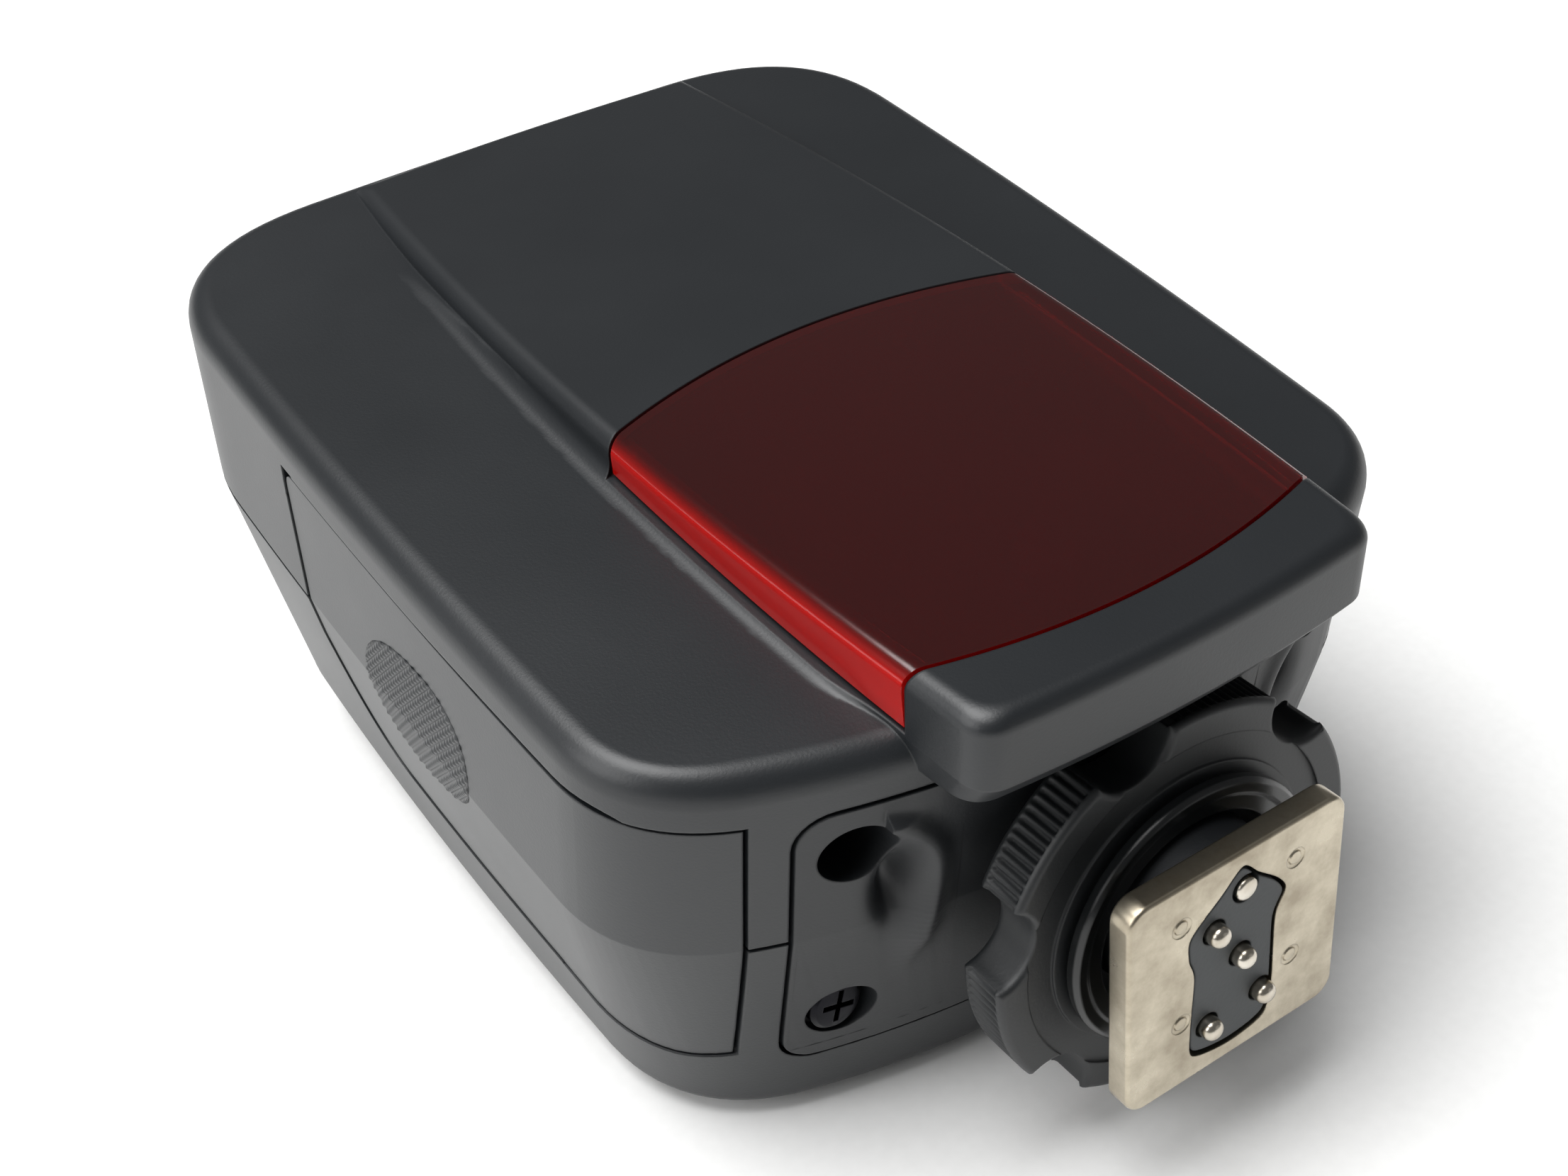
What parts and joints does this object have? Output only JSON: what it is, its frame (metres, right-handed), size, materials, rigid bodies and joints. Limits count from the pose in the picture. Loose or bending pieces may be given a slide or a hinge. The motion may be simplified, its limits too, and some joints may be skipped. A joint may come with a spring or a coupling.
{
  "type": "wireless flash trigger",
  "caption": "Small battery-powered radio trigger for camera flashes: a flat black casing with a red lens window, a display and keys on its rear, and a clamping hot shoe foot.",
  "frame": {"origin": "centre of the footprint on the resting face, which is the rear console", "axes": "+Z out of the front face, -Y towards the hot shoe foot, +X to the right seen from the front with the foot at the bottom"},
  "size_m": [0.0662, 0.094, 0.0429],
  "materials": {
    "black_plastic": "fine moulded grain, slightly glossy",
    "inner_plastic": "moulded, matte",
    "gloss_black": "polished",
    "red_lens": "clear deep red, polished",
    "key_plastic": "satin",
    "key_rubber": "matte",
    "nickel": "worn nickel plating, slightly tarnished",
    "steel": "zinc plated",
    "contact_brass": "bright",
    "cell_can": "printed sleeve without lettering",
    "circuit_board": "green solder mask",
    "display_glass": "grey-green display, off"
  },
  "bodies": {
    "casing": {"front_shell": "black_plastic", "rear_shell": "black_plastic", "foot_bracket": "black_plastic", "foot_stem": "black_plastic", "signal_window": "red_lens", "focus_lamp_left": "red_lens", "focus_lamp_right": "red_lens", "status_light": "red_lens", "battery_tray": "inner_plastic", "lamp_holder": "inner_plastic", "foot_insulator": "inner_plastic", "display_window": "gloss_black", "remote_jack": "gloss_black", "keypad_membrane": "key_rubber", "foot_plate": "nickel", "radio_module": "nickel", "stop_screw": "steel", "bracket_screw_1": "steel", "bracket_screw_2": "steel", "bracket_screw_3": "steel", "bracket_screw_4": "steel", "case_screw_1": "steel", "case_screw_2": "steel", "case_screw_3": "steel", "case_screw_4": "steel", "contact_spring_near": "steel", "contact_spring_far": "steel", "contact_bridge": "contact_brass", "contact_plate_plus": "contact_brass", "contact_plate_minus": "contact_brass", "antenna": "contact_brass", "battery_cell_upper": "cell_can", "battery_cell_lower": "cell_can", "main_board": "circuit_board", "control_board": "circuit_board", "display_module": "display_glass"},
    "ring": {"lock_ring": "black_plastic"},
    "clamp": {"pressure_disc": "gloss_black"},
    "lock_pin_body": {"lock_pin": "nickel"},
    "pin_center": {"contact_pin_center": "nickel"},
    "pin_monitor": {"contact_pin_monitor": "nickel"},
    "pin_ready": {"contact_pin_ready": "nickel"},
    "pin_quench": {"contact_pin_quench": "nickel"},
    "hinge_pin": {"door_hinge_pin": "steel"},
    "door": {"battery_door": "black_plastic"},
    "switch": {"power_switch": "key_plastic"},
    "key_1": {"function_key_1": "key_plastic"},
    "key_2": {"function_key_2": "key_plastic"},
    "key_3": {"function_key_3": "key_plastic"},
    "key_4": {"function_key_4": "key_plastic"},
    "pad": {"direction_pad": "key_plastic"},
    "ok": {"ok_key": "key_plastic"},
    "test": {"test_button": "key_plastic"}
  },
  "joints": [
    {"name": "ring_turn", "type": "hinge", "parent": "clamp", "child": "ring", "pos_m": [0.0025, -0.0379, 0.01894], "axis": [0, -0.9973, 0.0732], "range_deg": [0, 180]},
    {"name": "clamp_slide", "type": "slide", "parent": "casing", "child": "clamp", "axis": [0, -0.9973, 0.0732], "range_m": [0, 0.0012]},
    {"name": "lock_pin_slide", "type": "slide", "parent": "casing", "child": "lock_pin_body", "axis": [0, -0.9973, 0.0732], "range_m": [0, 0.0016]},
    {"name": "pin_center_slide", "type": "slide", "parent": "casing", "child": "pin_center", "axis": [0, 0.9973, -0.0732], "range_m": [0, 0.0009], "stiffness_N_per_m": 600, "springref_m": -0.0003},
    {"name": "pin_monitor_slide", "type": "slide", "parent": "casing", "child": "pin_monitor", "axis": [0, 0.9973, -0.0732], "range_m": [0, 0.0009], "stiffness_N_per_m": 600, "springref_m": -0.0003},
    {"name": "pin_ready_slide", "type": "slide", "parent": "casing", "child": "pin_ready", "axis": [0, 0.9973, -0.0732], "range_m": [0, 0.0009], "stiffness_N_per_m": 600, "springref_m": -0.0003},
    {"name": "pin_quench_slide", "type": "slide", "parent": "casing", "child": "pin_quench", "axis": [0, 0.9973, -0.0732], "range_m": [0, 0.0009], "stiffness_N_per_m": 600, "springref_m": -0.0003},
    {"name": "door_slide", "type": "slide", "parent": "casing", "child": "hinge_pin", "axis": [0, -0.9978, -0.0659], "range_m": [0, 0.004]},
    {"name": "door_hinge", "type": "hinge", "parent": "hinge_pin", "child": "door", "pos_m": [-0.03145, 0.00338, 0.03458], "axis": [0, 0.9978, 0.0659], "range_deg": [0, 90]},
    {"name": "power_switch_slide", "type": "slide", "parent": "casing", "child": "switch", "axis": [1, 0, 0], "range_m": [0, 0.0052]},
    {"name": "key_1_press", "type": "slide", "parent": "casing", "child": "key_1", "axis": [0, 0, 1], "range_m": [0, 0.0004], "stiffness_N_per_m": 800, "springref_m": -0.0006},
    {"name": "key_2_press", "type": "slide", "parent": "casing", "child": "key_2", "axis": [0, 0, 1], "range_m": [0, 0.0004], "stiffness_N_per_m": 800, "springref_m": -0.0006},
    {"name": "key_3_press", "type": "slide", "parent": "casing", "child": "key_3", "axis": [0, 0, 1], "range_m": [0, 0.0004], "stiffness_N_per_m": 800, "springref_m": -0.0006},
    {"name": "key_4_press", "type": "slide", "parent": "casing", "child": "key_4", "axis": [0, 0, 1], "range_m": [0, 0.0004], "stiffness_N_per_m": 800, "springref_m": -0.0006},
    {"name": "pad_press", "type": "slide", "parent": "casing", "child": "pad", "axis": [0, 0, 1], "range_m": [0, 0.0004], "stiffness_N_per_m": 800, "springref_m": -0.0006},
    {"name": "ok_press", "type": "slide", "parent": "casing", "child": "ok", "axis": [0, 0, 1], "range_m": [0, 0.0004], "stiffness_N_per_m": 800, "springref_m": -0.0006},
    {"name": "test_press", "type": "slide", "parent": "casing", "child": "test", "axis": [0, 0, 1], "range_m": [0, 0.0004], "stiffness_N_per_m": 800, "springref_m": -0.0006}
  ],
  "couplings": [
    {"joint": "ring_turn", "follows": "clamp_slide", "rad_per_m": 2617.9},
    {"joint": "lock_pin_slide", "follows": "clamp_slide", "ratio": 1.3333}
  ]
}
